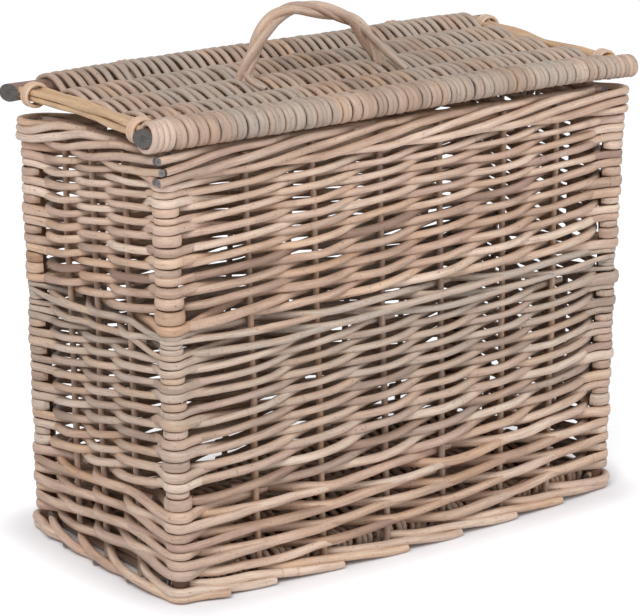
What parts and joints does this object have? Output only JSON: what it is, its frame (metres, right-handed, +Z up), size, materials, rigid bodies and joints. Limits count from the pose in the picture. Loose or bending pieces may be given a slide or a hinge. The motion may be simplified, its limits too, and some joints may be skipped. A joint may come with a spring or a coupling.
{
  "type": "lidded wicker basket",
  "caption": "Rectangular willow basket with corner posts, randed walls, a woven base and a hinged flat woven lid with an arched twisted rope handle.",
  "frame": {"origin": "on the floor, under the middle of the closed basket", "axes": "+X along the long side to the right of the front, +Y from the front to the hinged back, +Z up"},
  "size_m": [0.436, 0.2215, 0.3853],
  "materials": {
    "tan_willow": "matt peeled willow, tan brown",
    "grey_willow": "matt weathered willow, grey brown",
    "brown_willow": "satin willow with thin bark, brown",
    "post_willow": "satin thick willow with thin bark, dark brown",
    "pale_willow": "matt split willow, pale"
  },
  "bodies": {
    "basket": {"base_back_stick": "post_willow", "base_front_stick": "post_willow", "base_rib_1": "brown_willow", "base_rib_2": "brown_willow", "base_rib_3": "brown_willow", "base_weave": "brown_willow", "corner_post_back_left": "post_willow", "corner_post_back_right": "post_willow", "corner_post_front_left": "post_willow", "corner_post_front_right": "post_willow", "foot_border_back": "brown_willow", "foot_border_front": "brown_willow", "foot_border_left": "brown_willow", "foot_border_right": "brown_willow", "hinge_loop_left": "pale_willow", "hinge_loop_right": "pale_willow", "stake_back_1": "brown_willow", "stake_back_2": "brown_willow", "stake_back_3": "brown_willow", "stake_back_4": "brown_willow", "stake_back_5": "brown_willow", "stake_back_6": "brown_willow", "stake_front_1": "brown_willow", "stake_front_2": "brown_willow", "stake_front_3": "brown_willow", "stake_front_4": "brown_willow", "stake_front_5": "brown_willow", "stake_front_6": "brown_willow", "stake_left_1": "brown_willow", "stake_left_2": "brown_willow", "stake_left_3": "brown_willow", "stake_right_1": "brown_willow", "stake_right_2": "brown_willow", "stake_right_3": "brown_willow", "top_border_back": "tan_willow", "top_border_front": "tan_willow", "top_border_left": "tan_willow", "top_border_right": "tan_willow", "wall_weave_back": "tan_willow", "wall_weave_front": "tan_willow", "wall_weave_left": "tan_willow", "wall_weave_right": "tan_willow"},
    "lid": {"lid_back_stick": "post_willow", "lid_binding_back_left": "pale_willow", "lid_binding_back_right": "pale_willow", "lid_binding_front_left": "pale_willow", "lid_binding_front_right": "pale_willow", "lid_end_left": "pale_willow", "lid_end_right": "pale_willow", "lid_front_stick": "post_willow", "lid_handle": "grey_willow", "lid_rib_1": "brown_willow", "lid_rib_2": "brown_willow", "lid_rib_3": "brown_willow", "lid_weave": "grey_willow"}
  },
  "joints": [
    {"name": "lid_hinge", "type": "hinge", "parent": "basket", "child": "lid", "pos_m": [0, 0.0845, 0.32488], "axis": [-1, 0, 0], "range_deg": [0, 185]}
  ]
}
